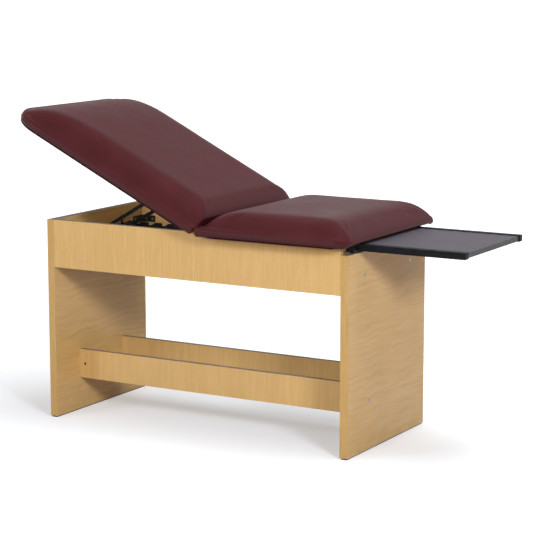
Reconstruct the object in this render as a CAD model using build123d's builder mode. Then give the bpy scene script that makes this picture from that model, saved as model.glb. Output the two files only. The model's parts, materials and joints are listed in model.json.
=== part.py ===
from build123d import *
import os
from math import acos, asin, cos, radians, sin

# Medical examination table on two panel legs, with a lifting backrest held by a
# propped ratchet frame and a leg rest that slides out from under the seat.
# Millimetres. +X points to the foot end, -Y to the front, +Z up. The origin is on the
# floor, under the middle of the overall length, with the backrest raised and the leg
# rest drawn out.

# ---------------------------------------------------------------- driving dimensions
# Base
base_length = 1194
base_depth = 572
frame_height = 711
panel_thickness = 28.6
edge_band = 1.0
foot_slot = 35
strip_height = 4
strip_margin = 3
apron_height = 168
apron_thickness = 19
stretcher_height = 104
stretcher_thickness = 19
stretcher_top = 223
stretcher_spread = 287
cross_rail_height = 72
cross_rail_thickness = 19
cross_rail_drop = 75
middle_rail_offset = -240

# Fasteners
bolt_diameter = 6
bolt_head_diameter = 13
bolt_head_height = 4
bolt_recess = 1
bolt_socket = 4
bolt_clearance = 0.4
rail_bolt_spread = 344
rail_bolt_grip = 13
insert_diameter = 10
insert_length = 13
stretcher_bolt_grip = 34
barrel_nut_diameter = 10
barrel_nut_length = 14
barrel_nut_setback = 22
dowel_diameter = 8
dowel_length = 30
dowel_in_apron = 10
dowel_spread = 40
screw_diameter = 4
screw_head_diameter = 8
screw_head_depth = 2.4
long_screw = 30
short_screw = 14
bracket_screw = 12

# Corner brackets
bracket_leg = 60
bracket_width = 25
bracket_thickness = 2
bracket_drop = 61
bracket_screw_near = 20
bracket_screw_far = 48

# Upholstered pads and their boards
pad_width = 690
pad_crown = 76
pad_edge = 20
pad_undercut = 8
crown_run = 120
crown_steps = 8
cover_thickness = 1.5
board_thickness = 19
board_margin = 10
hinge_corner_radius = 12
seat_overhang = 21
seat_corner_radius = 55
backrest_length = 824
backrest_corner_radius = 105
backrest_tilt = 26
lying_gap = 1.0

# Hinges between seat and backrest
hinge_offset = 42
hinge_rise = 17
hinge_pad_gap = 2.2
hinge_length = 75
hinge_spacing = 230
hinge_count = 3
leaf_width = 34
leaf_thickness = 2
knuckle_diameter = 6
knuckle_count = 5
knuckle_gap = 0.3
tongue_overlap = 1.0
hinge_pin_diameter = 3
hinge_pin_clearance = 0.1
leaf_screw_spread = 45
leaf_screw_setback = 25

# Prop frame and its racks
arm_length = 327
arm_width = 13
arm_thickness = 5
arm_spread = 210
arm_side_gap = 0.4
rod_diameter = 10
rod_overhang = 17
pivot_distance = 268
pivot_drop = 14
pivot_pin_diameter = 6
pivot_pin_clearance = 0.1
pivot_pin_head = 2.5
ear_thickness = 3
ear_radius = 8
pivot_plate_length = 60
pivot_plate_width = 44
pivot_plate_thickness = 2.5
pivot_screw_run = 40
pivot_screw_spread = 30
rack_end_gap = 0.75
rack_thickness = 4
rack_flange_width = 22
rack_flange_thickness = 3
rack_floor = 14
tooth_height = 10
tooth_ramp = 16
notch_width = 13
notch_pitch = 58
notches_behind = 1
notches_ahead = 4

# Leg rest and its guides
leg_rest_reach = 379
leg_rest_hidden = 200
leg_rest_drop = 3.5
rail_width = 25
rail_height = 22
rail_wall = 2.4
laminate_thickness = 1.0
cap_length = 5
cap_radius = 3
guide_clearance = 1.0
guide_wall = 2.5
guide_web = 18
guide_lip_reach = 22
guide_setback = 18
guide_screw_depth = 12
guide_screw_margin = 65
cleat_gap = 1.0
cleat_width = 18
cleat_height = 25
cleat_setback = 20
stop_width = 20
stop_length = 300
stop_thickness = 4.5
stop_gap = 0.3
stop_screw_spread = 200

# ------------------------------------------------------------------- derived places
tilt = radians(backrest_tilt)
backrest_base = lying_gap - hinge_rise
backrest_end = hinge_pad_gap + backrest_length
head_reach = max(
    (backrest_end - pad_undercut) * cos(tilt) - backrest_base * sin(tilt),
    backrest_end * cos(tilt) - (backrest_base + pad_edge) * sin(tilt),
)
foot_reach = base_length / 2 + leg_rest_reach + cap_length
base_x = (head_reach - hinge_offset - foot_reach) / 2

head_face = base_x - base_length / 2
foot_face = base_x + base_length / 2
head_inside = head_face + panel_thickness
foot_inside = foot_face - panel_thickness
half_depth = base_depth / 2
apron_inside = half_depth - apron_thickness
stretcher_y = (stretcher_spread - stretcher_thickness) / 2
stretcher_z = stretcher_top - stretcher_height / 2
bracket_height = frame_height - bracket_drop
cross_rail_top = frame_height - cross_rail_drop
cross_rail_z = cross_rail_top - cross_rail_height / 2
middle_rail_x = base_x + middle_rail_offset
hinge_x = base_x + hinge_offset
hinge_z = frame_height + hinge_rise
arm_y = arm_spread / 2
inner_length = foot_inside - head_inside

HEAD = -1
FOOT = 1
SIDES = {"front": -1, "rear": 1}
BOTTOM = (Align.CENTER, Align.CENTER, Align.MIN)
TOP = (Align.CENTER, Align.CENTER, Align.MAX)

# The backrest's own frame: along it from the hinge towards its head, and up out of it.
along = Vector(-cos(tilt), 0, sin(tilt))
upward = Vector(sin(tilt), 0, cos(tilt))
hinge_point = Vector(hinge_x, 0, hinge_z)


def on_backrest(distance, y, height):
    """A point by its distance from the hinge axis along the backrest and its height over that axis."""
    return hinge_point + along * distance + Vector(0, y, 0) + upward * height


# The prop arm runs from its pivot down to the rod, which lies in a notch of the racks.
pivot = on_backrest(pivot_distance, 0, backrest_base - pivot_drop)
rod_z = cross_rail_top + rack_floor + rod_diameter / 2
arm_slope = asin((pivot.Z - rod_z) / arm_length)
rod_x = pivot.X - arm_length * cos(arm_slope)

os.makedirs("parts", exist_ok=True)


def write(piece, name):
    """Names a finished piece and writes its file."""
    piece.part.label = name
    export_step(piece.part, f"parts/{name}.step")


def seat_at(point, outward):
    """The plane of a screw's or bolt's head: its normal points out of the surface."""
    return Plane(origin=point, z_dir=outward)


def shape_screws(seats, length, mode=Mode.ADD):
    """Countersunk screws, or the holes they fill, with their heads flush at the seats."""
    with Locations(*seats):
        Cylinder(screw_diameter / 2, length, align=TOP, mode=mode)
        Cone(screw_diameter / 2, screw_head_diameter / 2, screw_head_depth, align=TOP, mode=mode)


def make_screws(name, seats, length):
    with BuildPart() as screws:
        shape_screws(seats, length)
    write(screws, name)


# ------------------------------------------------------------------------ end panels
rail_bolts = {
    end: [
        seat_at((face, side * rail_bolt_spread / 2, cross_rail_z), (end, 0, 0))
        for side in SIDES.values()
    ]
    for end, face in ((HEAD, head_face), (FOOT, foot_face))
}
stretcher_bolts = {
    end: [
        seat_at((face, side * stretcher_y, stretcher_z), (end, 0, 0))
        for side in SIDES.values()
    ]
    for end, face in ((HEAD, head_face), (FOOT, foot_face))
}
bracket_screws_on_panel = {
    end: [
        seat_at((inside - end * bracket_thickness, side * (apron_inside - run), bracket_height), (-end, 0, 0))
        for side in SIDES.values()
        for run in (bracket_screw_near, bracket_screw_far)
    ]
    for end, inside in ((HEAD, head_inside), (FOOT, foot_inside))
}
bracket_face = apron_inside - bracket_thickness
bracket_screws_on_apron = {
    side: [
        seat_at((inside - end * run, side * bracket_face, bracket_height), (0, -side, 0))
        for end, inside in ((HEAD, head_inside), (FOOT, foot_inside))
        for run in (bracket_screw_near, bracket_screw_far)
    ]
    for side in SIDES.values()
}


def shape_bolts(seats, grip, mode=Mode.ADD, clearance=0.0):
    """Socket-head bolts, or the stepped holes they pass through, from their seats on an outer face."""
    head_radius = (bolt_head_diameter + clearance) / 2
    shank_radius = (bolt_diameter + clearance) / 2
    with Locations(*[seat.offset(-bolt_recess) for seat in seats]):
        Cylinder(head_radius, bolt_head_height, align=TOP, mode=mode)
        Cylinder(shank_radius, panel_thickness + grip - bolt_recess, align=TOP, mode=mode)


def shape_bolt_mouths(seats):
    """The recess over each bolt's head."""
    with Locations(*seats):
        Cylinder((bolt_head_diameter + bolt_clearance) / 2, bolt_recess, align=TOP, mode=Mode.SUBTRACT)


for end, name, face, top in (
    (HEAD, "head_panel", head_face, frame_height),
    (FOOT, "foot_panel", foot_face, frame_height - foot_slot),
):
    panel_height = top - strip_height
    core_depth = base_depth - 2 * edge_band
    panel_x = face - end * panel_thickness / 2
    with BuildPart() as panel:
        with Locations((panel_x, 0, strip_height)):
            Box(panel_thickness, core_depth, panel_height, align=BOTTOM)
        for seats, grip in ((rail_bolts[end], rail_bolt_grip), (stretcher_bolts[end], stretcher_bolt_grip)):
            shape_bolts(seats, grip, Mode.SUBTRACT, bolt_clearance)
            shape_bolt_mouths(seats)
        shape_screws(bracket_screws_on_panel[end], bracket_screw, Mode.SUBTRACT)
    write(panel, name)

    band_y = half_depth - edge_band / 2
    with BuildPart() as bands:
        with Locations(*[(panel_x, side * band_y, strip_height) for side in SIDES.values()]):
            Box(panel_thickness, edge_band, panel_height, align=BOTTOM)
    write(bands, f"{name}_edge_bands")

    with BuildPart() as strip:
        with Locations((panel_x, 0)):
            Box(panel_thickness - 2 * strip_margin, base_depth - 2 * strip_margin, strip_height, align=BOTTOM)
        fillet(strip.edges().filter_by(Axis.Z), strip_margin)
    write(strip, f"{name}_floor_strip")

# ------------------------------------------------------------- aprons and cross rails
cross_rails = {
    "head_cross_rail": head_inside + cross_rail_thickness / 2,
    "middle_cross_rail": middle_rail_x,
    "foot_cross_rail": foot_inside - cross_rail_thickness / 2,
}
cleat_x = (hinge_x + leaf_width + cleat_setback + foot_inside) / 2
cleat_length = foot_inside - hinge_x - leaf_width - cleat_setback
cleat_y = apron_inside - cleat_width / 2
cleat_thirds = [cleat_x + third * cleat_length / 3 for third in (-1, 0, 1)]


def dowel_seats(side):
    """Where each dowel's end lies inside an apron, normal pointing into the apron."""
    return [
        seat_at((x, side * (apron_inside + dowel_in_apron), cross_rail_z + rise), (0, side, 0))
        for x in cross_rails.values()
        for rise in (-dowel_spread / 2, dowel_spread / 2)
    ]


def shape_dowels(mode=Mode.ADD):
    with Locations(*[seat for side in SIDES.values() for seat in dowel_seats(side)]):
        Cylinder(dowel_diameter / 2, dowel_length, align=TOP, mode=mode)


cleat_wall_screws = {
    side: [
        seat_at((x, side * (apron_inside - cleat_width), frame_height - cleat_height / 2), (0, -side, 0))
        for x in cleat_thirds
    ]
    for side in SIDES.values()
}

for side_name, side in SIDES.items():
    with BuildPart() as apron:
        with Locations((base_x, side * (half_depth - apron_thickness / 2), frame_height - apron_height)):
            Box(inner_length, apron_thickness, apron_height, align=BOTTOM)
        shape_dowels(Mode.SUBTRACT)
        shape_screws(bracket_screws_on_apron[side], bracket_screw, Mode.SUBTRACT)
        shape_screws(cleat_wall_screws[side], long_screw, Mode.SUBTRACT)
    write(apron, f"{side_name}_apron")

# ------------------------------------------------------------------------ stretchers
for side_name, side in SIDES.items():
    nut_places = [
        (head_inside + barrel_nut_setback, side),
        (foot_inside - barrel_nut_setback, -side),
    ]
    with BuildPart() as stretcher:
        with Locations((base_x, side * stretcher_y, stretcher_z)):
            Box(inner_length, stretcher_thickness, stretcher_height)
        for end in (HEAD, FOOT):
            shape_bolts(stretcher_bolts[end], stretcher_bolt_grip, Mode.SUBTRACT, bolt_clearance)
        for x, mouth in nut_places:
            mouth_y = side * stretcher_y + mouth * stretcher_thickness / 2
            with Locations(seat_at((x, mouth_y, stretcher_z), (0, mouth, 0))):
                Cylinder(
                    barrel_nut_diameter / 2,
                    (stretcher_thickness + barrel_nut_length) / 2,
                    align=TOP,
                    mode=Mode.SUBTRACT,
                )
    write(stretcher, f"{side_name}_stretcher")

with BuildPart() as barrel_nuts:
    for side in SIDES.values():
        for x in (head_inside + barrel_nut_setback, foot_inside - barrel_nut_setback):
            with Locations(seat_at((x, side * stretcher_y, stretcher_z), (0, 1, 0))):
                Cylinder(barrel_nut_diameter / 2, barrel_nut_length)
    for end in (HEAD, FOOT):
        shape_bolts(stretcher_bolts[end], stretcher_bolt_grip, Mode.SUBTRACT)
write(barrel_nuts, "barrel_nuts")

# ------------------------------------------------------------------------ racks, arms
rack_y = arm_y + rod_overhang + rack_end_gap + rack_thickness / 2
rack_start = head_inside + strip_margin
rack_end = middle_rail_x + cross_rail_thickness / 2
rack_tip = rack_floor + tooth_height
notch_xs = [rod_x + step * notch_pitch for step in range(-notches_behind, notches_ahead + 1)]
rack_screw_y = rack_y + rack_thickness / 2 + (rack_flange_width - rack_thickness) / 2
rack_screws = [
    seat_at((x, side * rack_screw_y, cross_rail_top + rack_flange_thickness), (0, 0, 1))
    for side in SIDES.values()
    for x in (cross_rails["head_cross_rail"], cross_rails["middle_cross_rail"])
]

for name, x in cross_rails.items():
    with BuildPart() as cross_rail:
        with Locations((x, 0, cross_rail_z)):
            Box(cross_rail_thickness, 2 * apron_inside, cross_rail_height)
        shape_dowels(Mode.SUBTRACT)
        for end in (HEAD, FOOT):
            panel_seats = [seat.offset(-panel_thickness) for seat in rail_bolts[end]]
            with Locations(*panel_seats):
                Cylinder(insert_diameter / 2, insert_length, align=TOP, mode=Mode.SUBTRACT)
        if name != "foot_cross_rail":
            shape_screws(rack_screws, long_screw, Mode.SUBTRACT)
    write(cross_rail, name)

with BuildPart() as cross_rail_dowels:
    shape_dowels()
write(cross_rail_dowels, "cross_rail_dowels")

with BuildPart() as cross_rail_inserts:
    for end in (HEAD, FOOT):
        with Locations(*[seat.offset(-panel_thickness) for seat in rail_bolts[end]]):
            Cylinder(insert_diameter / 2, insert_length, align=TOP)
        shape_bolts(rail_bolts[end], rail_bolt_grip, Mode.SUBTRACT)
write(cross_rail_inserts, "cross_rail_inserts")


def make_bolts(name, seats_by_end, grip):
    with BuildPart() as bolts:
        for end in (HEAD, FOOT):
            shape_bolts(seats_by_end[end], grip)
            for seat in seats_by_end[end]:
                with BuildSketch(seat.offset(-bolt_recess)) as socket:
                    RegularPolygon(bolt_socket / 2, 6)
                extrude(socket.sketch, amount=-bolt_head_height / 2, mode=Mode.SUBTRACT)
    write(bolts, name)


make_bolts("cross_rail_bolts", rail_bolts, rail_bolt_grip)
make_bolts("stretcher_bolts", stretcher_bolts, stretcher_bolt_grip)

with BuildPart() as corner_brackets:
    for end, inside in ((HEAD, head_inside), (FOOT, foot_inside)):
        for side in SIDES.values():
            leg_middle = side * (apron_inside - bracket_leg / 2)
            with Locations((inside - end * bracket_thickness / 2, leg_middle, bracket_height)):
                Box(bracket_thickness, bracket_leg, bracket_width)
            plate_y = side * (apron_inside - bracket_thickness / 2)
            with Locations((inside - end * bracket_leg / 2, plate_y, bracket_height)):
                Box(bracket_leg, bracket_thickness, bracket_width)
    for end in (HEAD, FOOT):
        shape_screws(bracket_screws_on_panel[end], bracket_screw, Mode.SUBTRACT)
    for side in SIDES.values():
        shape_screws(bracket_screws_on_apron[side], bracket_screw, Mode.SUBTRACT)
write(corner_brackets, "corner_brackets")

all_bracket_screws = [
    seat
    for group in (*bracket_screws_on_panel.values(), *bracket_screws_on_apron.values())
    for seat in group
]
make_screws("corner_bracket_screws", all_bracket_screws, bracket_screw)

for side_name, side in SIDES.items():
    rack_side = Plane(
        origin=(0, side * rack_y, cross_rail_top), x_dir=(1, 0, 0), z_dir=(0, -1, 0)
    )
    with BuildPart() as rack:
        with BuildSketch(rack_side):
            with Locations(((rack_start + rack_end) / 2, rack_tip / 2)):
                Rectangle(rack_end - rack_start, rack_tip)
            for notch_x in notch_xs:
                with BuildLine():
                    Polyline(
                        (notch_x - notch_width / 2, rack_tip),
                        (notch_x - notch_width / 2, rack_floor),
                        (notch_x + notch_width / 2, rack_floor),
                        (notch_x + notch_width / 2 + tooth_ramp, rack_tip),
                        close=True,
                    )
                make_face(mode=Mode.SUBTRACT)
        extrude(amount=rack_thickness / 2, both=True)
        flange_y = side * (rack_y - rack_thickness / 2 + rack_flange_width / 2)
        with Locations(((rack_start + rack_end) / 2, flange_y, cross_rail_top)):
            Box(rack_end - rack_start, rack_flange_width, rack_flange_thickness, align=BOTTOM)
        shape_screws(rack_screws, long_screw, Mode.SUBTRACT)
    write(rack, f"{side_name}_rack")

make_screws("rack_screws", rack_screws, long_screw)

# ------------------------------------------------------------- seat board and its pad
seat_start = hinge_x + hinge_pad_gap
seat_end = foot_face + seat_overhang
seat_length = seat_end - seat_start
seat_base = Plane(origin=(seat_start, 0, frame_height), x_dir=(1, 0, 0), z_dir=(0, 0, 1))
backrest_plane = Plane(origin=on_backrest(hinge_pad_gap, 0, backrest_base), x_dir=along, z_dir=upward)
crown_rise = pad_crown - pad_edge
crown_radius = (crown_run**2 + crown_rise**2) / (2 * crown_rise)


def draw_plan(base, length, far_radius, inset, height):
    """A pad's outline with its corners, drawn in from its edge by the inset at a height over the base."""
    start = Plane(
        origin=base.origin + base.x_dir * inset + base.z_dir * height, x_dir=base.x_dir, z_dir=base.z_dir
    )
    with BuildSketch(start) as plan:
        with Locations((length / 2 - inset, 0)):
            Rectangle(length - 2 * inset, pad_width - 2 * inset)
        fillet(plan.vertices().sort_by(Axis.X)[:2], hinge_corner_radius)
        fillet(plan.vertices().sort_by(Axis.X)[-2:], max(far_radius - inset, hinge_corner_radius))
    return plan.sketch


def shape_pad(base, length, far_radius, skin=0.0, low=pad_edge):
    """A pad that swells from its low edge to its crown: the outer form, or the foam inside its skin."""
    radius = crown_radius - skin
    start = acos((low - pad_crown + crown_radius) / radius)
    plans = []
    if low == pad_edge:
        plans.append(draw_plan(base, length, far_radius, pad_undercut, 0))
    for step in range(crown_steps + 1):
        angle = start * (1 - step / crown_steps)
        inset = crown_run - radius * sin(angle)
        height = pad_crown - crown_radius + radius * cos(angle)
        plans.append(draw_plan(base, length, far_radius, inset, height))
    loft(plans, ruled=True)


def shape_board(base, length, far_radius):
    """The board under a pad, set in from the pad's edge all round."""
    extrude(draw_plan(base, length, far_radius, board_margin, 0), amount=board_thickness)


# -------------------------------------------------------------------------- hinges
hinge_ys = [(index - (hinge_count - 1) / 2) * hinge_spacing for index in range(hinge_count)]
knuckle_length = hinge_length / knuckle_count
seat_leaf_base = Plane(origin=(hinge_x, 0, hinge_z), x_dir=(1, 0, 0), z_dir=(0, 0, 1))
backrest_leaf_base = Plane(origin=hinge_point, x_dir=along, z_dir=upward)
seat_leaf_top = board_thickness - hinge_rise
backrest_leaf_top = backrest_base + board_thickness


def shape_leaf_plates(base, top, mode=Mode.ADD, start=knuckle_diameter / 2 + knuckle_gap):
    """The flat plates of the hinges on one board, flush with the board's top face."""
    with BuildSketch(base.offset(top)) as plates:
        with Locations(*[((start + leaf_width) / 2, y) for y in hinge_ys]):
            Rectangle(leaf_width - start, hinge_length)
    extrude(plates.sketch, amount=-leaf_thickness, mode=mode)


def shape_knuckles(base, top, own):
    """The knuckles that one leaf owns, each joined to its plate by a short tongue."""
    hinge_side = Plane(origin=base.origin, x_dir=base.x_dir, z_dir=-base.y_dir)
    tongue = knuckle_diameter / 2 + knuckle_gap + tongue_overlap
    for y in hinge_ys:
        for index in own:
            middle = y + (index - (knuckle_count - 1) / 2) * knuckle_length
            with BuildSketch(hinge_side.offset(-middle)) as knuckle:
                Circle(knuckle_diameter / 2)
                with Locations((tongue / 2, top - leaf_thickness / 2)):
                    Rectangle(tongue, leaf_thickness)
            extrude(knuckle.sketch, amount=(knuckle_length - knuckle_gap) / 2, both=True)


def shape_pin_holes(diameter):
    with Locations(*[seat_at((hinge_x, y, hinge_z), (0, 1, 0)) for y in hinge_ys]):
        Cylinder(diameter / 2, hinge_length, mode=Mode.SUBTRACT)


def leaf_screw_seats(base, top):
    return [
        Plane(
            origin=base.origin
            + base.x_dir * leaf_screw_setback
            + base.y_dir * (y + offset)
            + base.z_dir * top,
            z_dir=base.z_dir,
        )
        for y in hinge_ys
        for offset in (-leaf_screw_spread / 2, leaf_screw_spread / 2)
    ]


seat_leaf_screws = leaf_screw_seats(seat_leaf_base, seat_leaf_top)
backrest_leaf_screws = leaf_screw_seats(backrest_leaf_base, backrest_leaf_top)
seat_knuckles = range(0, knuckle_count, 2)
backrest_knuckles = range(1, knuckle_count, 2)

with BuildPart() as seat_hinge_leaves:
    shape_leaf_plates(seat_leaf_base, seat_leaf_top)
    shape_knuckles(seat_leaf_base, seat_leaf_top, seat_knuckles)
    shape_pin_holes(hinge_pin_diameter)
    shape_screws(seat_leaf_screws, short_screw, Mode.SUBTRACT)
write(seat_hinge_leaves, "seat_hinge_leaves")

with BuildPart() as backrest_hinge_leaves:
    shape_leaf_plates(backrest_leaf_base, backrest_leaf_top)
    shape_knuckles(backrest_leaf_base, backrest_leaf_top, backrest_knuckles)
    shape_pin_holes(hinge_pin_diameter + 2 * hinge_pin_clearance)
    shape_screws(backrest_leaf_screws, short_screw, Mode.SUBTRACT)
write(backrest_hinge_leaves, "backrest_hinge_leaves")

with BuildPart() as hinge_pins:
    with Locations(*[seat_at((hinge_x, y, hinge_z), (0, 1, 0)) for y in hinge_ys]):
        Cylinder(hinge_pin_diameter / 2, hinge_length)
write(hinge_pins, "hinge_pins")

make_screws("seat_hinge_screws", seat_leaf_screws, short_screw)
make_screws("backrest_hinge_screws", backrest_leaf_screws, short_screw)

# -------------------------------------------------------------------- leg rest sizes
leg_rest_end = foot_face + leg_rest_reach
leg_rest_inner = foot_face - leg_rest_hidden
leg_rest_length = leg_rest_end - leg_rest_inner
leg_rest_x = (leg_rest_end + leg_rest_inner) / 2
leg_rest_top = frame_height - leg_rest_drop
leg_rest_bottom = leg_rest_top - rail_height
guide_outer = apron_inside - cleat_width - cleat_gap
rail_outer = guide_outer - guide_web - guide_clearance
rail_web_inner = rail_outer - rail_wall
panel_room = rail_height - 2 * rail_wall
core_thickness = panel_room - laminate_thickness
guide_start = hinge_x + guide_setback
guide_end = foot_face
guide_length = guide_end - guide_start
guide_bottom = leg_rest_bottom - guide_clearance - guide_wall
guide_screw_y = guide_outer - guide_web / 2
guide_screw_xs = [guide_start + guide_screw_margin, (guide_start + guide_end) / 2, guide_end - guide_screw_margin]
guide_screws = [
    seat_at((x, side * guide_screw_y, guide_bottom), (0, 0, -1))
    for side in SIDES.values()
    for x in guide_screw_xs
]
guide_screw_length = frame_height - guide_bottom + guide_screw_depth
cleat_top_screws = [
    seat_at((x + screw_head_diameter, side * cleat_y, frame_height - cleat_height), (0, 0, -1))
    for side in SIDES.values()
    for x in cleat_thirds
]
cleat_top_screw_length = cleat_height + guide_screw_depth
seat_stop_x = leg_rest_inner + stop_width + stop_gap + stop_width / 2
stop_screw_ys = (-stop_screw_spread / 2, stop_screw_spread / 2)
seat_stop_screws = [
    seat_at((seat_stop_x, y, frame_height - stop_thickness), (0, 0, -1)) for y in stop_screw_ys
]
leg_rest_stop_z = leg_rest_top - rail_wall
leg_rest_stop_x = leg_rest_inner + stop_width / 2
leg_rest_stop_screws = [
    seat_at((leg_rest_stop_x, y, leg_rest_stop_z + stop_thickness), (0, 0, 1)) for y in stop_screw_ys
]

# --------------------------------------------------------------- seat board and pads
with BuildPart() as seat_board:
    shape_board(seat_base, seat_length, seat_corner_radius)
    shape_leaf_plates(seat_leaf_base, seat_leaf_top, Mode.SUBTRACT)
    shape_screws(seat_leaf_screws, short_screw, Mode.SUBTRACT)
    shape_screws(guide_screws, guide_screw_length, Mode.SUBTRACT)
    shape_screws(cleat_top_screws, cleat_top_screw_length, Mode.SUBTRACT)
    shape_screws(seat_stop_screws, short_screw, Mode.SUBTRACT)
write(seat_board, "seat_board")

pivot_plate_base = backrest_base - pivot_plate_thickness
pivot_plate_seats = [
    Plane(
        origin=on_backrest(pivot_distance + run, side * (arm_y + offset), pivot_plate_base), z_dir=-upward
    )
    for side in SIDES.values()
    for run in (-pivot_screw_run / 2, pivot_screw_run / 2)
    for offset in (-pivot_screw_spread / 2, pivot_screw_spread / 2)
]

with BuildPart() as backrest_board:
    shape_board(backrest_plane, backrest_length, backrest_corner_radius)
    shape_leaf_plates(backrest_leaf_base, backrest_leaf_top, Mode.SUBTRACT)
    shape_screws(backrest_leaf_screws, short_screw, Mode.SUBTRACT)
    shape_screws(pivot_plate_seats, short_screw, Mode.SUBTRACT)
write(backrest_board, "backrest_board")

for name, base, length, far_radius, leaf_base, leaf_top in (
    ("seat", seat_base, seat_length, seat_corner_radius, seat_leaf_base, seat_leaf_top),
    (
        "backrest",
        backrest_plane,
        backrest_length,
        backrest_corner_radius,
        backrest_leaf_base,
        backrest_leaf_top,
    ),
):
    with BuildPart() as foam:
        shape_pad(base, length, far_radius, cover_thickness, board_thickness)
    write(foam, f"{name}_foam")

    with BuildPart() as solid_board:
        shape_board(base, length, far_radius)

    with BuildPart() as cover:
        shape_pad(base, length, far_radius)
        add(foam.part, mode=Mode.SUBTRACT)
        add(solid_board.part, mode=Mode.SUBTRACT)
        shape_leaf_plates(leaf_base, leaf_top, Mode.SUBTRACT, start=0)
    write(cover, f"{name}_cover")

# ------------------------------------------------------------------------ prop frame
pivot_centres = {name: pivot + Vector(0, side * arm_y, 0) for name, side in SIDES.items()}
ear_y = arm_thickness / 2 + arm_side_gap + ear_thickness / 2
pin_length = 2 * (ear_y + ear_thickness / 2)

with BuildPart() as pivot_brackets:
    for side in SIDES.values():
        with BuildSketch(Plane(origin=on_backrest(0, 0, backrest_base), x_dir=along, z_dir=upward)) as plate:
            with Locations((pivot_distance, -side * arm_y)):
                RectangleRounded(pivot_plate_length, pivot_plate_width, pivot_plate_thickness)
        extrude(plate.sketch, amount=-pivot_plate_thickness)
        for face in (-ear_y, ear_y):
            ear_plane = Plane(
                origin=on_backrest(pivot_distance, side * arm_y + face, backrest_base - pivot_drop),
                x_dir=along,
                z_dir=(0, 1, 0),
            )
            with BuildSketch(ear_plane) as ear:
                Circle(ear_radius)
                with Locations((0, (pivot_drop - pivot_plate_thickness) / 2)):
                    Rectangle(2 * ear_radius, pivot_drop - pivot_plate_thickness)
            extrude(ear.sketch, amount=ear_thickness / 2, both=True)
        with Locations(seat_at(pivot + Vector(0, side * arm_y, 0), (0, 1, 0))):
            Cylinder(pivot_pin_diameter / 2, pin_length, mode=Mode.SUBTRACT)
    shape_screws(pivot_plate_seats, short_screw, Mode.SUBTRACT)
write(pivot_brackets, "pivot_brackets")
make_screws("pivot_bracket_screws", pivot_plate_seats, short_screw)

with BuildPart() as pivot_pins:
    for centre in pivot_centres.values():
        with Locations(seat_at(centre, (0, 1, 0))):
            Cylinder(pivot_pin_diameter / 2, pin_length)
        for face in (-1, 1):
            with Locations(seat_at(centre + Vector(0, face * pin_length / 2, 0), (0, face, 0))):
                Cylinder(pivot_pin_diameter, pivot_pin_head, align=BOTTOM)
write(pivot_pins, "pivot_pins")

arm_direction = Vector(-cos(arm_slope), 0, -sin(arm_slope))
for side_name, centre in pivot_centres.items():
    arm_plane = Plane(origin=centre, x_dir=arm_direction, z_dir=(0, 1, 0))
    with BuildPart() as arm:
        with BuildSketch(arm_plane):
            with Locations((arm_length / 2, 0)):
                SlotCenterToCenter(arm_length, arm_width)
            Circle(pivot_pin_diameter / 2 + pivot_pin_clearance, mode=Mode.SUBTRACT)
            with Locations((arm_length, 0)):
                Circle(rod_diameter / 2, mode=Mode.SUBTRACT)
        extrude(amount=arm_thickness / 2, both=True)
    write(arm, f"{side_name}_prop_arm")

with BuildPart(Plane(origin=(rod_x, 0, rod_z), z_dir=(0, 1, 0))) as prop_rod:
    Cylinder(rod_diameter / 2, arm_spread + 2 * rod_overhang)
write(prop_rod, "prop_rod")

# -------------------------------------------------------------------------- leg rest
with BuildPart() as leg_rest_board:
    with Locations((leg_rest_x, 0, leg_rest_bottom + rail_wall)):
        Box(leg_rest_length, 2 * rail_web_inner, core_thickness, align=BOTTOM)
    shape_screws(leg_rest_stop_screws, short_screw, Mode.SUBTRACT)
write(leg_rest_board, "leg_rest_board")

with BuildPart() as leg_rest_laminate:
    with Locations((leg_rest_x, 0, leg_rest_top - rail_wall)):
        Box(leg_rest_length, 2 * rail_web_inner, laminate_thickness, align=TOP)
    shape_screws(leg_rest_stop_screws, short_screw, Mode.SUBTRACT)
write(leg_rest_laminate, "leg_rest_laminate")

with BuildPart() as leg_rest_edge_band:
    with Locations((leg_rest_end + edge_band / 2, 0, leg_rest_bottom + rail_wall)):
        Box(edge_band, 2 * (rail_outer - rail_width), panel_room, align=BOTTOM)
write(leg_rest_edge_band, "leg_rest_edge_band")

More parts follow.
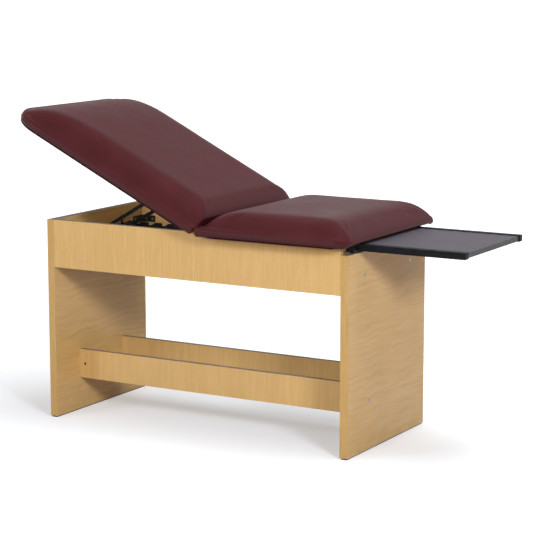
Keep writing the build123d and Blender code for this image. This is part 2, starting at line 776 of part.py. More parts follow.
for side_name, side in SIDES.items():
    end_plane = Plane(origin=(leg_rest_inner, 0, leg_rest_bottom), x_dir=(0, 1, 0), z_dir=(1, 0, 0))
    with BuildPart() as rail:
        with BuildSketch(end_plane):
            with Locations((side * (rail_outer - rail_width / 2), rail_height / 2)):
                Rectangle(rail_width, rail_height)
            with Locations((side * (rail_web_inner - rail_width / 2), rail_height / 2)):
                Rectangle(rail_width, panel_room, mode=Mode.SUBTRACT)
        extrude(amount=leg_rest_length)
    write(rail, f"{side_name}_leg_rest_rail")

    cap_plane = Plane(origin=(leg_rest_end, 0, leg_rest_bottom), x_dir=(0, 1, 0), z_dir=(1, 0, 0))
    with BuildPart() as cap:
        with BuildSketch(cap_plane):
            with Locations((side * (rail_outer - rail_width / 2), rail_height / 2)):
                Rectangle(rail_width, rail_height)
        extrude(amount=cap_length)
        fillet(cap.faces().sort_by(Axis.X)[-1].edges(), cap_radius)
    write(cap, f"{side_name}_leg_rest_cap")

    guide_plane = Plane(origin=(guide_start, 0, guide_bottom), x_dir=(0, 1, 0), z_dir=(1, 0, 0))
    guide_height = frame_height - guide_bottom
    guide_inner = rail_outer - guide_lip_reach
    groove_outer = rail_outer + guide_clearance
    groove_height = rail_height + 2 * guide_clearance
    with BuildPart() as guide:
        with BuildSketch(guide_plane):
            with Locations((side * (guide_outer + guide_inner) / 2, guide_height / 2)):
                Rectangle(guide_outer - guide_inner, guide_height)
            with Locations((side * (groove_outer + guide_inner) / 2, guide_wall + groove_height / 2)):
                Rectangle(groove_outer - guide_inner, groove_height, mode=Mode.SUBTRACT)
        extrude(amount=guide_length)
        shape_screws(guide_screws, guide_screw_length, Mode.SUBTRACT)
    write(guide, f"{side_name}_leg_rest_guide")

    with BuildPart() as cleat:
        with Locations((cleat_x, side * cleat_y, frame_height)):
            Box(cleat_length, cleat_width, cleat_height, align=TOP)
        shape_screws(cleat_wall_screws[side], long_screw, Mode.SUBTRACT)
        shape_screws(cleat_top_screws, cleat_top_screw_length, Mode.SUBTRACT)
    write(cleat, f"{side_name}_seat_cleat")

make_screws("guide_screws", guide_screws, guide_screw_length)
make_screws("cleat_wall_screws", [seat for seats in cleat_wall_screws.values() for seat in seats], long_screw)
make_screws("cleat_seat_screws", cleat_top_screws, cleat_top_screw_length)

with BuildPart() as seat_stop:
    with Locations((seat_stop_x, 0, frame_height)):
        Box(stop_width, stop_length, stop_thickness, align=TOP)
    shape_screws(seat_stop_screws, short_screw, Mode.SUBTRACT)
write(seat_stop, "seat_stop")

with BuildPart() as leg_rest_stop:
    with Locations((leg_rest_stop_x, 0, leg_rest_stop_z)):
        Box(stop_width, stop_length, stop_thickness, align=BOTTOM)
    shape_screws(leg_rest_stop_screws, short_screw, Mode.SUBTRACT)
write(leg_rest_stop, "leg_rest_stop")

make_screws("seat_stop_screws", seat_stop_screws, short_screw)
make_screws("leg_rest_stop_screws", leg_rest_stop_screws, short_screw)
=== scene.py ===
import json
from collections import namedtuple
from math import cos, radians, sin

import bmesh
import bpy
from mathutils import Matrix, Vector, noise


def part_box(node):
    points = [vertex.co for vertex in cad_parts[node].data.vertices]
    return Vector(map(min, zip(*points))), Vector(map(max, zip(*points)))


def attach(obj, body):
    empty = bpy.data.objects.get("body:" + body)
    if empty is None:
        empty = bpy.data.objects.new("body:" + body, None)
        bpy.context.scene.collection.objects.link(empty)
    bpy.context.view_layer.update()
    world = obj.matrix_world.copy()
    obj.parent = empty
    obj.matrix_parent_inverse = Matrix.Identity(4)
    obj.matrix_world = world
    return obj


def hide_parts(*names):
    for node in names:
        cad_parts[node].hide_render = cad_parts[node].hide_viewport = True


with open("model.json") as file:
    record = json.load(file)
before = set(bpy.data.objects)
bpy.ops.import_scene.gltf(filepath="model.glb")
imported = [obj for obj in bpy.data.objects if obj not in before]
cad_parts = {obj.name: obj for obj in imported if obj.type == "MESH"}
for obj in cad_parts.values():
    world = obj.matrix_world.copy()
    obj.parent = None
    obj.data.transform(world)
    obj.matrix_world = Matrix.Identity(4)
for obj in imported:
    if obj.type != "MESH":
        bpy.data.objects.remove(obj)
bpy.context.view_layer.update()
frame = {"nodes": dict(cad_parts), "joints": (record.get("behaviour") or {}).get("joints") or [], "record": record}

MM = 0.001
nodes = frame["nodes"]


# ------------------------------------------------------------------------ finishes
class Nodes:
    """A node tree, with short ways to add to it."""

    def __init__(self, tree):
        self.tree = tree

    def plug(self, socket, value):
        """Links an output to the socket, or sets its value."""
        if isinstance(value, bpy.types.NodeSocket):
            self.tree.links.new(value, socket)
        else:
            socket.default_value = value

    def add(self, kind, output=0, settings=(), **inputs):
        """A new node with the given settings and inputs, by its output."""
        node = self.tree.nodes.new(kind)
        for key, value in settings:
            setattr(node, key, value)
        for key, value in inputs.items():
            self.plug(node.inputs[key.replace("_", " ")], value)
        return node.outputs[output]

    def calculate(self, operation, first, second=0.0):
        """One sum on two values; a sum on a single value ignores the second."""
        node = self.tree.nodes.new("ShaderNodeMath")
        node.operation = operation
        self.plug(node.inputs[0], first)
        self.plug(node.inputs[1], second)
        return node.outputs[0]

    def blend(self, *parts):
        """Adds up values, each with its own weight."""
        total = 0.0
        for value, weight in parts:
            total = self.calculate("ADD", self.calculate("MULTIPLY", value, weight), total)
        return total

    def spread(self, value, low, high, to_low=0.0, to_high=1.0):
        """Stretches a value from low to high over a new range."""
        node = self.tree.nodes.new("ShaderNodeMapRange")
        for socket, number in zip(node.inputs, (value, low, high, to_low, to_high)):
            self.plug(socket, number)
        return node.outputs[0]

    def mix(self, factor, first, second):
        """Mixes two colours."""
        node = self.tree.nodes.new("ShaderNodeMix")
        node.data_type = "RGBA"
        for socket, value in zip((node.inputs[0], node.inputs[6], node.inputs[7]), (factor, first, second)):
            self.plug(socket, (*value, 1) if type(value) is tuple else value)
        return node.outputs[2]

    def split(self, vector):
        """A vector's three parts."""
        node = self.tree.nodes.new("ShaderNodeSeparateXYZ")
        self.plug(node.inputs[0], vector)
        return node.outputs


class Finish(Nodes):
    """A material whose patterns lie in metres on a piece's own coordinates."""

    def __init__(self, name, color, roughness, metallic=0.0, specular=0.5):
        self.material = bpy.data.materials.new(name)
        self.material.use_nodes = True
        super().__init__(self.material.node_tree)
        self.shader = self.tree.nodes["Principled BSDF"]
        self.feed("Base Color", (*color, 1))
        self.feed("Roughness", roughness)
        self.feed("Metallic", metallic)
        self.feed("Specular IOR Level", specular)
        self.coordinates = self.tree.nodes.new("ShaderNodeTexCoord")
        self.place = self.coordinates.outputs["Object"]

    def feed(self, name, value):
        """Sets one of the shader's own inputs."""
        self.plug(self.shader.inputs[name], value)

    def noise(self, stretch, detail=2.0, roughness=0.5, place=None):
        """Noise with its own number of cells to the metre along each axis."""
        cells = stretch if type(stretch) is tuple else (stretch,) * 3
        spread = self.add("ShaderNodeMapping", Vector=place or self.place, Scale=cells)
        return self.add("ShaderNodeTexNoise", Vector=spread, Scale=1, Detail=detail, Roughness=roughness)

    def bump(self, height, distance, strength=1.0):
        """Raises the surface by a height from 0 to 1, over a distance in metres."""
        raised = self.add("ShaderNodeBump", Height=height, Distance=distance, Strength=strength)
        self.feed("Normal", raised)


AXES = "xyz"


def cells_along(grain, lengthwise, across):
    """Cells to the metre for noise that is drawn out along one axis."""
    return tuple(lengthwise if axis == grain else across for axis in AXES)


MAPLE_LIGHT = (0.755, 0.500, 0.212)
MAPLE_DARK = (0.560, 0.346, 0.120)
MAPLE_PORE = (0.40, 0.24, 0.09)
CHIP_LIGHT = (0.46, 0.38, 0.31)
CHIP_DARK = (0.22, 0.17, 0.13)
SKIN_LINE = (0.16, 0.12, 0.09)
skin_depth = 0.9 * MM
scuff_height = 100 * MM


def maple(finish, grain, wave):
    """Maple grain along an axis, its lines drifting by up to half the wave: its colour and height."""
    place = finish.place
    if wave:
        drift = finish.noise((9.0, 9.0, 5.0), 2.5)
        shift = finish.calculate("MULTIPLY", finish.calculate("SUBTRACT", drift, 0.5), wave)
        x, y, z = finish.split(place)
        place = finish.add("ShaderNodeCombineXYZ", X=x, Y=y, Z=finish.calculate("ADD", z, shift))

    def streaks(across, lengthwise, detail):
        return finish.noise(cells_along(grain, lengthwise, across), detail, 0.6, place)

    fine = streaks(620.0, 14.0, 3)
    figure = streaks(90.0, 4.5, 3) if wave else streaks(95.0, 3.2, 3)
    cloud = finish.noise(5.0, 2)
    fine_share = 0.25 if wave else 0.60
    tone = finish.blend((fine, fine_share), (figure, 1.05 - fine_share), (cloud, 0.25))
    color = finish.mix(finish.spread(tone, 0.38, 0.90), MAPLE_DARK, MAPLE_LIGHT)
    pores = finish.spread(streaks(900.0, 45.0, 1), 0.62, 0.72, 0.0, 0.35)
    return finish.mix(pores, color, MAPLE_PORE), fine


def chipboard(finish):
    """The colour of a board's bare core."""
    chips = finish.add("ShaderNodeTexVoronoi", "Color", Vector=finish.place, Scale=420)
    speckle = finish.blend((finish.split(chips)[0], 0.6), (finish.noise(160.0, 4), 0.4))
    return finish.mix(finish.spread(speckle, 0.25, 0.75), CHIP_DARK, CHIP_LIGHT)


def board_finish(name, node, thin, grain, wave=0.0):
    """A laminate-faced board: maple on its faces, bare core on its top and bottom edges."""
    finish = Finish(name, MAPLE_LIGHT, 0.4, specular=0.35)
    low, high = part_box(node)
    axis = AXES.index(thin)
    middle = (low[axis] + high[axis]) / 2
    half = (high[axis] - low[axis]) / 2
    color, height = maple(finish, grain, wave)
    parts = finish.split(finish.place)
    upright = finish.split(finish.coordinates.outputs["Normal"])[2]
    edge = finish.calculate("GREATER_THAN", finish.calculate("ABSOLUTE", upright), 0.8)
    offset = finish.calculate("ABSOLUTE", finish.calculate("SUBTRACT", parts[axis], middle))
    skin = finish.calculate("GREATER_THAN", offset, half - skin_depth)
    core = finish.mix(skin, chipboard(finish), SKIN_LINE)
    wear = finish.noise(9.0, 3)
    near_floor = finish.spread(parts[2], scuff_height, 0.0)
    scuff = finish.calculate("MULTIPLY", near_floor, finish.spread(wear, 0.45, 0.7, 0.0, 0.35))
    color = finish.mix(scuff, color, MAPLE_PORE)
    rough = finish.spread(wear, 0.3, 0.7, 0.34, 0.44)
    finish.feed("Base Color", finish.mix(edge, color, core))
    finish.feed("Roughness", finish.blend((rough, 1.0), (edge, 0.4)))
    finish.bump(height, 0.04 * MM)
    return finish.material


def plain_wood(name, color, dark, grain, roughness=0.6):
    """Bare boards and blocks, mostly out of sight."""
    finish = Finish(name, color, roughness)
    streak = finish.noise(cells_along(grain, 8.0, 240.0), 4, 0.6)
    patch = finish.noise(11.0, 3)
    tone = finish.blend((streak, 0.6), (patch, 0.4))
    finish.feed("Base Color", finish.mix(finish.spread(tone, 0.35, 0.65), dark, color))
    finish.feed("Roughness", finish.spread(patch, 0.3, 0.7, roughness - 0.08, roughness + 0.08))
    finish.bump(streak, 0.15 * MM)
    return finish.material


def metal(name, color, roughness, brushed=False, metallic=1.0, specular=0.5):
    """Plated or coated metal with faint smears, and pitting or brushing in its surface."""
    finish = Finish(name, color, roughness, metallic, specular)
    smear = finish.noise(60.0, 3)
    grain = finish.noise(cells_along("z", 120.0, 2600.0) if brushed else 900.0, 2)
    dull = tuple(part * 0.72 for part in color)
    finish.feed("Base Color", finish.mix(finish.spread(smear, 0.4, 0.7), color, dull))
    finish.feed("Roughness", finish.spread(smear, 0.3, 0.7, roughness - 0.07, roughness + 0.10))
    finish.bump(grain, 0.03 * MM)
    return finish.material


def plastic(name, color, roughness):
    """Moulded plastic with a fine texture and handling marks."""
    finish = Finish(name, color, roughness, specular=0.15)
    marks = finish.noise(cells_along("z", 90.0, 35.0), 4)
    pale = tuple(min(1.0, part * 1.5 + 0.004) for part in color)
    finish.feed("Base Color", finish.mix(finish.spread(marks, 0.55, 0.8, 0.0, 0.5), color, pale))
    finish.feed("Roughness", finish.spread(marks, 0.3, 0.7, roughness - 0.06, roughness + 0.08))
    finish.bump(finish.noise(1400.0, 2), 0.05 * MM)
    return finish.material


def edging(name):
    """Golden plastic edge banding with faint printed grain."""
    finish = Finish(name, (0.52, 0.32, 0.105), 0.38)
    grain = finish.noise(cells_along("z", 12.0, 300.0), 3)
    rub = finish.noise(24.0, 3)
    color = finish.mix(finish.spread(grain, 0.35, 0.65), (0.49, 0.296, 0.090), (0.56, 0.352, 0.125))
    color = finish.mix(finish.spread(rub, 0.62, 0.8, 0.0, 0.3), color, (0.62, 0.44, 0.20))
    finish.feed("Base Color", color)
    finish.feed("Roughness", finish.spread(rub, 0.3, 0.7, 0.32, 0.42))
    finish.bump(grain, 0.03 * MM)
    return finish.material


def upholstery(name):
    """Burgundy vinyl: pebbled grain with painted shade in its hollows, slow colour drift and a rubbed sheen."""
    finish = Finish(name, (0.058, 0.0110, 0.0130), 0.5, specular=0.17)
    drift = finish.noise(7.0, 3)
    smooth_cells = (("feature", "SMOOTH_F1"),)
    pebble = finish.add(
        "ShaderNodeTexVoronoi", "Distance", smooth_cells, Vector=finish.place, Scale=820, Smoothness=0.4
    )
    crease = finish.noise(260.0, 4, 0.6)
    color = finish.mix(finish.spread(drift, 0.35, 0.65), (0.050, 0.0090, 0.0105), (0.060, 0.0118, 0.0138))
    # painted shade: the colour darkens towards each pebble's edge, down in the grain's hollows
    color = finish.mix(finish.spread(pebble, 0.25, 0.7, 0.0, 0.35), color, (0.036, 0.0062, 0.0078))
    finish.feed("Base Color", color)
    finish.feed("Roughness", finish.spread(drift, 0.3, 0.7, 0.44, 0.52))
    finish.bump(finish.blend((pebble, -0.7), (crease, 0.6)), 0.16 * MM, 0.5)
    return finish.material


def panel_laminate(name):
    """Dark grey laminate with a fine printed weave."""
    finish = Finish(name, (0.058, 0.049, 0.060), 0.5, specular=0.14)
    cloud = finish.noise(13.0, 4)
    fleck = finish.noise(cells_along("y", 260.0, 900.0), 2)
    color = finish.mix(finish.spread(cloud, 0.35, 0.65), (0.053, 0.045, 0.055), (0.064, 0.055, 0.066))
    color = finish.mix(finish.spread(fleck, 0.55, 0.7, 0.0, 0.5), color, (0.095, 0.086, 0.098))
    finish.feed("Base Color", color)
    finish.feed("Roughness", finish.spread(cloud, 0.3, 0.7, 0.46, 0.54))
    finish.bump(fleck, 0.03 * MM)
    return finish.material


zinc = metal("zinc_plate", (0.44, 0.49, 0.54), 0.4, brushed=True)
# painted shade: a darkened copy of the zinc plate, for plated pieces that sit in shade inside the frame
shaded_zinc = metal("shaded_zinc_plate", (0.10, 0.09, 0.08), 0.4, brushed=True)
steel = metal("hinge_steel", (0.50, 0.50, 0.51), 0.38, brushed=True)
black_steel = metal("black_powder_coat", (0.005, 0.005, 0.006), 0.5, metallic=0.0, specular=0.15)
rail_coat = metal("black_rail_coat", (0.007, 0.007, 0.009), 0.5, metallic=0.0, specular=0.10)
black_plastic = plastic("black_plastic", (0.006, 0.006, 0.007), 0.55)
grey_edge = plastic("grey_edge_band", (0.055, 0.053, 0.060), 0.4)
core_board = plain_wood("bare_board", (0.42, 0.31, 0.19), (0.30, 0.21, 0.12), "x")
rail_board = plain_wood("bare_rail", (0.50, 0.37, 0.22), (0.34, 0.24, 0.13), "y")
ply_board = plain_wood("pad_board", (0.36, 0.25, 0.14), (0.24, 0.16, 0.085), "x", 0.7)
banding = edging("maple_edging")
vinyl = upholstery("burgundy_vinyl")
grey_laminate = panel_laminate("grey_laminate")

FINISHES = {
    "zinc_steel": zinc,
    "hinge_steel": steel,
    "black_steel": black_steel,
    "black_rail": rail_coat,
    "black_plastic": black_plastic,
    "grey_edge": grey_edge,
    "raw_board": rail_board,
    "plywood": ply_board,
    "edge_banding": banding,
    "vinyl": vinyl,
    "grey_laminate": grey_laminate,
}


def paint(piece, material):
    """Gives a piece one material alone."""
    piece.data.materials.clear()
    piece.data.materials.append(material)


panel_wave = 42 * MM
slots = {part["node"]: part["material_slot"] for part in frame["record"]["subparts"]}
for name, node in nodes.items():
    if slots[name] in FINISHES:
        paint(node, FINISHES[slots[name]])
for end in ("head", "foot"):
    panel = f"{end}_panel"
    paint(nodes[panel], board_finish(f"{panel}_laminate", panel, "x", "y", panel_wave))
for side in ("front", "rear"):
    for board in ("apron", "stretcher"):
        node = f"{side}_{board}"
        paint(nodes[node], board_finish(f"{node}_laminate", node, "y", "z"))
for node in ("leg_rest_board", "seat_stop", "leg_rest_stop"):
    paint(nodes[node], core_board)
# painted shade: the barrel nuts and corner brackets get the darkened zinc, because they sit in shade inside the
# frame
for node in ("barrel_nuts", "corner_brackets"):
    paint(nodes[node], shaded_zinc)


# -------------------------------------------------------------------- making pieces
def finish_piece(name, mesh, material, body, replaced=()):
    """Turns a bmesh into a shown piece that rides on a body."""
    settle_piece(new_piece(name, mesh), material, body, replaced)


def new_piece(name, mesh):
    """Turns a bmesh into an object in the scene."""
    data = bpy.data.meshes.new(name)
    mesh.to_mesh(data)
    mesh.free()
    piece = bpy.data.objects.new(name, data)
    bpy.context.scene.collection.objects.link(piece)
    return piece


def settle_piece(piece, material, body, replaced=()):
    """Paints a piece, says which body it rides on, and hides the parts that it stands for."""
    paint(piece, material)
    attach(piece, body)
    if replaced:
        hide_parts(*replaced)


def add_block(mesh, low, high):
    """A box between two corners, by its edges in the mesh's own order."""
    place = Matrix.Translation((low + high) / 2) @ Matrix.Diagonal((*(high - low), 1))
    made = bmesh.ops.create_cube(mesh, size=1, matrix=place)
    return [edge for edge in mesh.edges if edge.verts[0] in made["verts"]]


def round_edges(mesh, edges, radius, segments):
    """Rounds a mesh's edges."""
    bmesh.ops.bevel(
        mesh, geom=edges, offset=radius, segments=segments, profile=0.5, affect="EDGES", material=-1
    )


# ---------------------------------------------------------------------- edge bands
band_round = 0.7 * MM
band_segments = 3
for end in ("head", "foot"):
    plain_bands = f"{end}_panel_edge_bands"
    low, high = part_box(f"{end}_panel")
    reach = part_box(plain_bands)[1].y
    bands = bmesh.new()
    for side in (-1, 1):
        inner, outer = sorted((side * high.y, side * reach))
        edges = add_block(bands, Vector((low.x, inner, low.z)), Vector((high.x, outer, high.z)))
        outside = [
            edge for edge in edges if all(abs(abs(vertex.co.y) - reach) < MM / 10 for vertex in edge.verts)
        ]
        round_edges(bands, outside, band_round, band_segments)
    finish_piece(f"{end}_panel_edging", bands, banding, "frame", [plain_bands])


# ---------------------------------------------------------------------- upholstery
# the block that a pad is formed from, and the board under its foam
voxel = 5 * MM
block_height = 80 * MM
block_segments = 14
board_thickness = 19 * MM
board_margin = 10 * MM
rim_lift = 0.3 * MM
# the cover's roll at the rim, and how it hangs below the board where nothing is in its way
roll_width = 10 * MM
roll_middle = 12 * MM
roll_top = 22 * MM
roll_tuck = 13 * MM
roll_hang = 8 * MM
hang_clearance = 10 * MM
hang_fade = 30 * MM
# the foam's fall along the sides
side_run = 120 * MM
fall_power = 3.5
soft_start = 8 * MM
side_inset = 12 * MM
# the cover's swelling, which stops at the hinge, and its soft waves
swell_pressure = 4
swell_quality = 2
swell_frames = 20
swell_cap = 3 * MM
hinge_still = 6 * MM
hinge_fade = 30 * MM
soft_wave = 0.45 * MM
slow_waves = 9
quick_waves = 23
apron_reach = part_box("rear_apron")[1].y

End = namedtuple("End", "corner inset run power square soft")


def ramp(value, start, reach):
    """A soft step from 0 to 1."""
    share = min(max((value - start) / reach, 0.0), 1.0)
    return share * share * (3 - 2 * share)


def eased(distance, soft):
    """A distance that grows slowly at first, so that a slope starts out flat."""
    distance = max(distance, 0.0)
    return (distance**2 + soft**2) ** 0.5 - soft


class Pad:
    """A padded board in its own frame: u from its hinge edge, v across it, w up from its underside.

    Each end has the radius of its corners; the inset, run and power of its foam's fall; and how
    squarely that fall meets the one along the sides. Beyond hang_from the cover's roll hangs under
    the board.
    """

    def __init__(self, name, place, length, width, crown, near, far, hang_from):
        self.name = name
        self.place = place
        self.length = length
        self.half = width / 2
        self.crown = crown
        self.near = near
        self.far = far
        self.hang_from = hang_from

    def rim(self, u, v):
        """How far a point is in from the outline, and the way outwards there."""
        at_far = u > self.length / 2
        corner = (self.far if at_far else self.near).corner
        in_end = min(u, self.length - u)
        in_side = self.half - abs(v)
        if in_end < corner and in_side < corner:
            away = Vector((corner - in_end, corner - in_side))
            depth = corner - away.length
            away.normalize()
        else:
            depth = min(in_end, in_side)
            away = Vector((1, 0)) if in_end < in_side else Vector((0, 1))
        return depth, away.x * (1 if at_far else -1), away.y * (1 if v > 0 else -1)

    def hang(self, u, v):
        """How far the roll hangs below the board, clear of the frame that the pad rests on."""
        beside = ramp(abs(v), apron_reach + hang_clearance, hang_fade)
        beyond = ramp(u, self.hang_from, hang_fade)
        return roll_hang * max(beside, beyond)

    def height(self, u, v, depth):
        """The top: a tight roll along the rim, save at the hinge end, and the foam's rise to the crown."""
        at_far = u > self.length / 2
        end = self.far if at_far else self.near
        share = 1 - min(max(depth if at_far else self.half - abs(v), 0.0), roll_width) / roll_width
        roll = roll_middle + (roll_top - roll_middle) * (1 - share**2) ** 0.5
        in_end = eased(min(u, self.length - u) - end.inset, end.soft)
        in_side = eased(self.half - abs(v) - side_inset, soft_start)
        end_fall = max(1 - in_end / end.run, 0.0) ** end.power
        side_fall = max(1 - in_side / side_run, 0.0) ** fall_power
        fall = min((end_fall**end.square + side_fall**end.square) ** (1 / end.square), 1.0)
        return roll + (self.crown - roll_top) * (1 - fall)

    def form(self, point):
        """Where a point of the plain block goes on the pad."""
        u, v, w = point
        depth, away_u, away_v = self.rim(u, v)
        hang = self.hang(u, v)
        base = board_thickness if depth > board_margin + voxel / 2 else rim_lift - hang
        w = base + (self.height(u, v, depth) - base) * min(max(w / block_height, 0.0), 1.0)
        tuck = 0.0
        if depth < voxel and w < roll_middle:
            # the lower half of the roll curls in under the board
            tuck = roll_tuck * (1 - (1 - ((roll_middle - w) / (roll_middle + roll_hang)) ** 2) ** 0.5)
        return Vector((u - away_u * tuck, v - away_v * tuck, w))


def block_of(pad):
    """The pad's plain block with its corners rounded, divided into even small faces."""
    mesh = bmesh.new()
    add_block(mesh, Vector((0, -pad.half, 0)), Vector((pad.length, pad.half, block_height)))
    for end, at_far in ((pad.near, False), (pad.far, True)):
        corners = [
            edge
            for edge in mesh.edges
            if abs(edge.verts[0].co.z - edge.verts[1].co.z) > block_height / 2
            and (edge.verts[0].co.x > pad.length / 2) == at_far
        ]
        round_edges(mesh, corners, end.corner, block_segments)
    piece = new_piece(pad.name, mesh)
    remesh = piece.modifiers.new("even", "REMESH")
    remesh.mode = "VOXEL"
    remesh.voxel_size = voxel
    apply_all(piece)
    return piece


def apply_all(piece):
    """Makes what the modifiers show the piece's own mesh."""
    shown = piece.evaluated_get(bpy.context.evaluated_depsgraph_get())
    data = bpy.data.meshes.new_from_object(shown)
    piece.modifiers.clear()
    piece.data = data


def swell(piece):
    """Blows the cover up a little under pressure, never downwards, and caps how far it goes.

    Next to the hinge it stays still, so that the two pads keep their gap.
    """
    start = [vertex.co.copy() for vertex in piece.data.vertices]
    held = piece.vertex_groups.new(name="held")
    held.add([i for i, co in enumerate(start) if co.z < roll_middle / 2], 1.0, "REPLACE")
    cloth = piece.modifiers.new("cover", "CLOTH")
    cloth.settings.vertex_group_mass = "held"
    cloth.settings.use_pressure = True
    cloth.settings.uniform_pressure_force = swell_pressure
    cloth.settings.quality = swell_quality
    cloth.settings.effector_weights.gravity = 0
    cloth.point_cache.frame_end = swell_frames
    for step in range(1, swell_frames + 1):
        bpy.context.scene.frame_set(step)
    apply_all(piece)
    bpy.context.scene.frame_set(1)
    for vertex, rest in zip(piece.data.vertices, start):
        move = vertex.co - rest
        room = swell_cap * min(max((rest.x - hinge_still) / hinge_fade, 0.0), 1.0)
        if move.length > room:
            move = move.normalized() * room
        move.z = max(move.z, 0.0)
        vertex.co = rest + move
    piece.vertex_groups.clear()


def ripple(piece):
    """Slow soft unevenness of foam under a stretched cover."""
    for vertex in piece.data.vertices:
        u, v, w = vertex.co
        if w > roll_middle:
            slow = noise.noise(Vector((u, v, 0)) * slow_waves)
            quick = noise.noise(Vector((u, v, 3)) * quick_waves)
            vertex.co.z += soft_wave * (slow + quick / 2) * min(w / roll_top, 1.0)


def make_pad(pad, body, replaced):
    """A pad's cover and foam as one soft piece."""
    piece = block_of(pad)
    for vertex in piece.data.vertices:
        vertex.co = pad.form(vertex.co)
    swell(piece)
    ripple(piece)
    smooth = piece.modifiers.new("smooth", "SUBSURF")
    smooth.levels = smooth.render_levels = 1
    apply_all(piece)
    piece.data.transform(pad.place)
    for face in piece.data.polygons:
        face.use_smooth = True
    settle_piece(piece, vinyl, body, replaced)


flap_depths = (4 * MM, 8 * MM, 14 * MM, 22 * MM, 32 * MM, 42 * MM)
flap_thickness = 0.6 * MM
flap_start = 50 * MM
flap_step = 20 * MM
arc_steps = 8
staple_depth = 30 * MM
staple_every = 2
staple_size = Vector((11, 1.3, 0.6)) * MM


def edge_stations(pad, around):
    """Stations along a pad's edge, each giving the point at a depth in from the edge.

    They run along one side only, or around the far end too and back along the other side.
    """
    corner = pad.far.corner
    centre_u = pad.length - corner
    centre_v = pad.half - corner

    def beside(u, side):
        return lambda depth: (u, side * (pad.half - depth))

    def turning(angle, side):
        return lambda depth: (
            centre_u + (corner - depth) * sin(angle),
            side * (centre_v + (corner - depth) * cos(angle)),
        )

    steps = round((centre_u - flap_start) / flap_step)
    straight = [flap_start + (centre_u - flap_start) * i / steps for i in range(steps + 1)]
    stations = [beside(u, -1) for u in straight]
    if not around:
        return stations
    arc = [radians(90) * i / arc_steps for i in range(1, arc_steps)]
    steps = round(2 * centre_v / flap_step)
    across = [-centre_v + 2 * centre_v * i / steps for i in range(steps + 1)]
    stations += [turning(angle, -1) for angle in arc]
    stations += [lambda depth, v=v: (pad.length - depth, v) for v in across]
    stations += [turning(angle, 1) for angle in reversed(arc)]
    return stations + [beside(u, 1) for u in reversed(straight)]


def flap_height(pad, station, depth):
    """The turned-in cover's height: it comes off the roll and runs flat against the board."""
    flat = ramp(depth, flap_depths[1], flap_depths[-1] - flap_depths[1])
    return -flap_thickness - pad.hang(*station(0.0)) * (1 - flat)


def add_ring(mesh, pad, station, side):
    """A section of the turned-in cover: in along its underside and back along its top."""
    ring = []
    for lift, depths in ((0.0, flap_depths), (flap_thickness, flap_depths[::-1])):
        for depth in depths:
            u, v = station(depth)
            ring.append(mesh.verts.new((u, v * side, flap_height(pad, station, depth) + lift)))
    return ring


def add_staple(mesh, pad, station, side):
    """A staple's back, lying under the turned-in cover along the pad's edge."""
    place, outer = (Vector((*station(depth), 0)) for depth in (staple_depth, staple_depth - MM))
    for point in (place, outer):
        point.y *= side
        point.z = flap_height(pad, station, staple_depth) - staple_size.z / 2
    outward = (outer - place).normalized()
    turn = Matrix((outward.cross(Vector((0, 0, 1))), outward, (0, 0, 1))).transposed().to_4x4()
    size = Matrix.Diagonal((*staple_size, 1))
    bmesh.ops.create_cube(mesh, size=1, matrix=Matrix.Translation(place) @ turn @ size)


def make_flap(pad, body, name, around):
    """The cover turned in under the board and its row of staples."""
    flap = bmesh.new()
    staples = bmesh.new()
    stations = edge_stations(pad, around)
    for side in (1,) if around else (1, -1):
        rings = [add_ring(flap, pad, station, side) for station in stations]
        for station in stations[1::staple_every]:
            add_staple(staples, pad, station, side)
        for one, two in zip(rings, rings[1:]):
            for i in range(len(one)):
                flap.faces.new((one[i - 1], one[i], two[i], two[i - 1]))
        flap.faces.new(rings[0])
        flap.faces.new(reversed(rings[-1]))
    for mesh, part, material, slot in (
        (flap, "turned_in_cover", vinyl, "vinyl"),
        (staples, "staples", zinc, "zinc_steel"),
    ):
        bmesh.ops.recalc_face_normals(mesh, faces=mesh.faces)
        mesh.transform(pad.place)
        finish_piece(f"{name}_{part}", mesh, material, body)


def frame_at(origin, x_dir, z_dir):
    """A pad's own frame, from its origin and two of its axes."""
    y_dir = z_dir.cross(x_dir)
    return Matrix.Translation(origin) @ Matrix((x_dir, y_dir, z_dir)).transposed().to_4x4()


tilt_joint = next(joint for joint in frame["joints"] if joint["name"] == "backrest_tilt")
hinge = Vector(tilt_joint["pos_m"])
tilt = radians(-tilt_joint["range_deg"][0])
along = Vector((-cos(tilt), 0, sin(tilt)))
upward = Vector((sin(tilt), 0, cos(tilt)))
seat_low, seat_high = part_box("seat_cover")
seat_length = seat_high.x - seat_low.x
pad_width = seat_high.y - seat_low.y
hinge_pad_gap = 1.2 * MM
backrest_base = -16 * MM
backrest_length = 832 * MM
panel_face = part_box("head_panel")[0].x
seat_pad = Pad(
    "seat_pad",
    frame_at(Vector((seat_low.x, 0, seat_low.z)), Vector((1, 0, 0)), Vector((0, 0, 1))),
    seat_length,
    pad_width,
    crown=75 * MM,
    near=End(corner=6 * MM, inset=-3 * MM, run=150 * MM, power=2.2, square=1.2, soft=0.0),
    far=End(corner=50 * MM, inset=2 * MM, run=165 * MM, power=fall_power, square=2.8, soft=3 * MM),
    hang_from=seat_length,
)
backrest_pad = Pad(
    "backrest_pad",
    frame_at(hinge + along * hinge_pad_gap + upward * backrest_base, along, upward),
    backrest_length,
    pad_width,
    crown=85 * MM,
    near=End(corner=6 * MM, inset=-16 * MM, run=95 * MM, power=3.2, square=2.4, soft=0.0),
    far=End(corner=115 * MM, inset=10 * MM, run=330 * MM, power=fall_power, square=1.4, soft=soft_start),
    hang_from=hinge.x - hinge_pad_gap - panel_face + hang_clearance,
)
make_pad(seat_pad, "frame", ["seat_foam", "seat_cover"])
make_pad(backrest_pad, "backrest", ["backrest_foam", "backrest_cover"])
make_flap(seat_pad, "frame", "seat", around=False)
make_flap(backrest_pad, "backrest", "backrest", around=True)

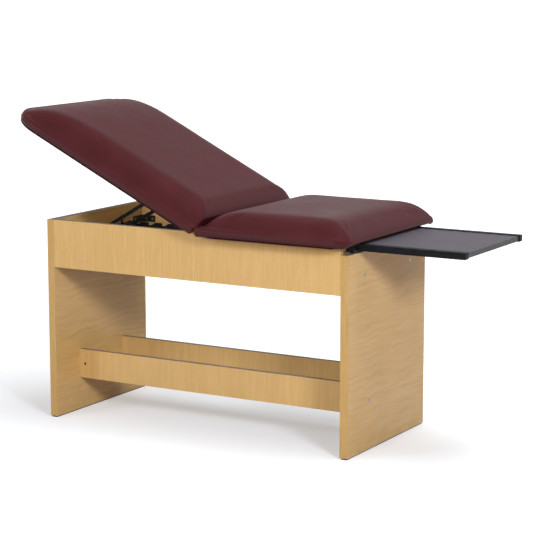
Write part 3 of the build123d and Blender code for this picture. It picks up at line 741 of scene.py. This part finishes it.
# --------------------------------------------------------- floor, lights and camera
base_x = (panel_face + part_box("foot_panel")[1].x) / 2
floor_size = 90.0
floor_bounce = (0.31, 0.235, 0.17)
floor_shown = (0.70, 0.72, 0.75)
floor_lift = 0.33
floor_fade = (1.5, 5.0)
sky_light = (0.07, 0.46)
sky_mirror = (1.0, 0.1)
sky_warmth = (1.0, 0.94, 0.86)
lamp_color = (0.97, 1.0, 1.06)
camera_place = (base_x + 3.390, -5.615, 1.651)
camera_dip = 9.78
camera_turn = 29.90
camera_lens = 124.49
camera_film = 36

floor_mesh = bmesh.new()
bmesh.ops.create_grid(floor_mesh, x_segments=1, y_segments=1, size=floor_size)
floor = new_piece("floor", floor_mesh)

floor_paint = bpy.data.materials.new("studio_floor")
floor_paint.use_nodes = True
floor_nodes = Nodes(floor_paint.node_tree)
floor_nodes.tree.nodes.clear()
seen = floor_nodes.tree.nodes.new("ShaderNodeLightPath").outputs
shown = floor_nodes.calculate("MAXIMUM", seen["Is Camera Ray"], seen["Is Glossy Ray"])
place = floor_nodes.add("ShaderNodeTexCoord", "Object")
distance = floor_nodes.add("ShaderNodeVectorMath", "Value", (("operation", "LENGTH"),), Vector=place)
lift = floor_nodes.spread(distance, *floor_fade, floor_lift, 1.0)
tone = floor_nodes.mix(shown, floor_bounce, floor_shown)
matte = floor_nodes.add("ShaderNodeBsdfDiffuse", Color=tone)
glow = floor_nodes.add("ShaderNodeEmission", Strength=floor_nodes.calculate("MULTIPLY", shown, lift))
both = floor_nodes.tree.nodes.new("ShaderNodeAddShader")
floor_nodes.plug(both.inputs[0], matte)
floor_nodes.plug(both.inputs[1], glow)
clear = floor_nodes.tree.nodes.new("ShaderNodeMixShader")
floor_nodes.plug(clear.inputs[0], floor_nodes.add("ShaderNodeNewGeometry", "Backfacing"))
floor_nodes.plug(clear.inputs[1], both.outputs[0])
floor_nodes.plug(clear.inputs[2], floor_nodes.add("ShaderNodeBsdfTransparent"))
surface = floor_nodes.tree.nodes.new("ShaderNodeOutputMaterial")
floor_nodes.plug(surface.inputs["Surface"], clear.outputs[0])
paint(floor, floor_paint)

world = bpy.data.worlds.new("studio")
bpy.context.scene.world = world
world.use_nodes = True
sky_nodes = Nodes(world.node_tree)
seen = sky_nodes.tree.nodes.new("ShaderNodeLightPath").outputs
height = sky_nodes.split(sky_nodes.add("ShaderNodeTexCoord", "Generated"))["Z"]
shown = sky_nodes.calculate("MAXIMUM", seen["Is Camera Ray"], seen["Is Transmission Ray"])
lit = sky_nodes.spread(height, 0.0, 1.0, *sky_light)
mirrored = sky_nodes.spread(height, 0.3, 0.9, *sky_mirror)
level = sky_nodes.spread(seen["Is Glossy Ray"], 0.0, 1.0, lit, mirrored)
sky = sky_nodes.tree.nodes["Background"]
plain = sky_nodes.calculate("MAXIMUM", shown, seen["Is Glossy Ray"])
sky_nodes.plug(sky.inputs["Color"], sky_nodes.mix(plain, sky_warmth, (1, 1, 1)))
sky_nodes.plug(sky.inputs["Strength"], sky_nodes.spread(shown, 0.0, 1.0, level, 1.0))


def softbox(name, place, size, power, mirrored=True):
    """A flat lamp aimed at the middle of the table; shiny pieces can be kept from mirroring it."""
    lamp = bpy.data.lights.new(name, "AREA")
    lamp.shape = "RECTANGLE"
    lamp.size, lamp.size_y = size
    lamp.energy = power
    lamp.color = lamp_color
    holder = bpy.data.objects.new(name, lamp)
    turn = (place - table_middle).to_track_quat("Z", "Y").to_matrix().to_4x4()
    holder.matrix_world = Matrix.Translation(place) @ turn
    holder.visible_glossy = mirrored
    bpy.context.scene.collection.objects.link(holder)


table_middle = Vector((base_x, 0, 0.5))
softbox("key", Vector((4.2, -3.2, 2.5)), (1.0, 1.0), 170, mirrored=False)
softbox("front", Vector((0.3, -5.3, 2.0)), (2.4, 1.0), 84, mirrored=False)
softbox("overhead", Vector((0.4, 0.4, 4.0)), (3.0, 2.0), 150, mirrored=False)
softbox("front_fill", Vector((-2.6, -3.6, 2.6)), (1.2, 0.9), 40)

camera_data = bpy.data.cameras.new("camera")
camera_data.sensor_width = camera_film
camera_data.lens = camera_lens
camera = bpy.data.objects.new("camera", camera_data)
camera.location = camera_place
camera.rotation_euler = (radians(90 - camera_dip), 0, radians(camera_turn))
bpy.context.scene.collection.objects.link(camera)
bpy.context.scene.camera = camera
bpy.context.scene.view_settings.view_transform = "Standard"
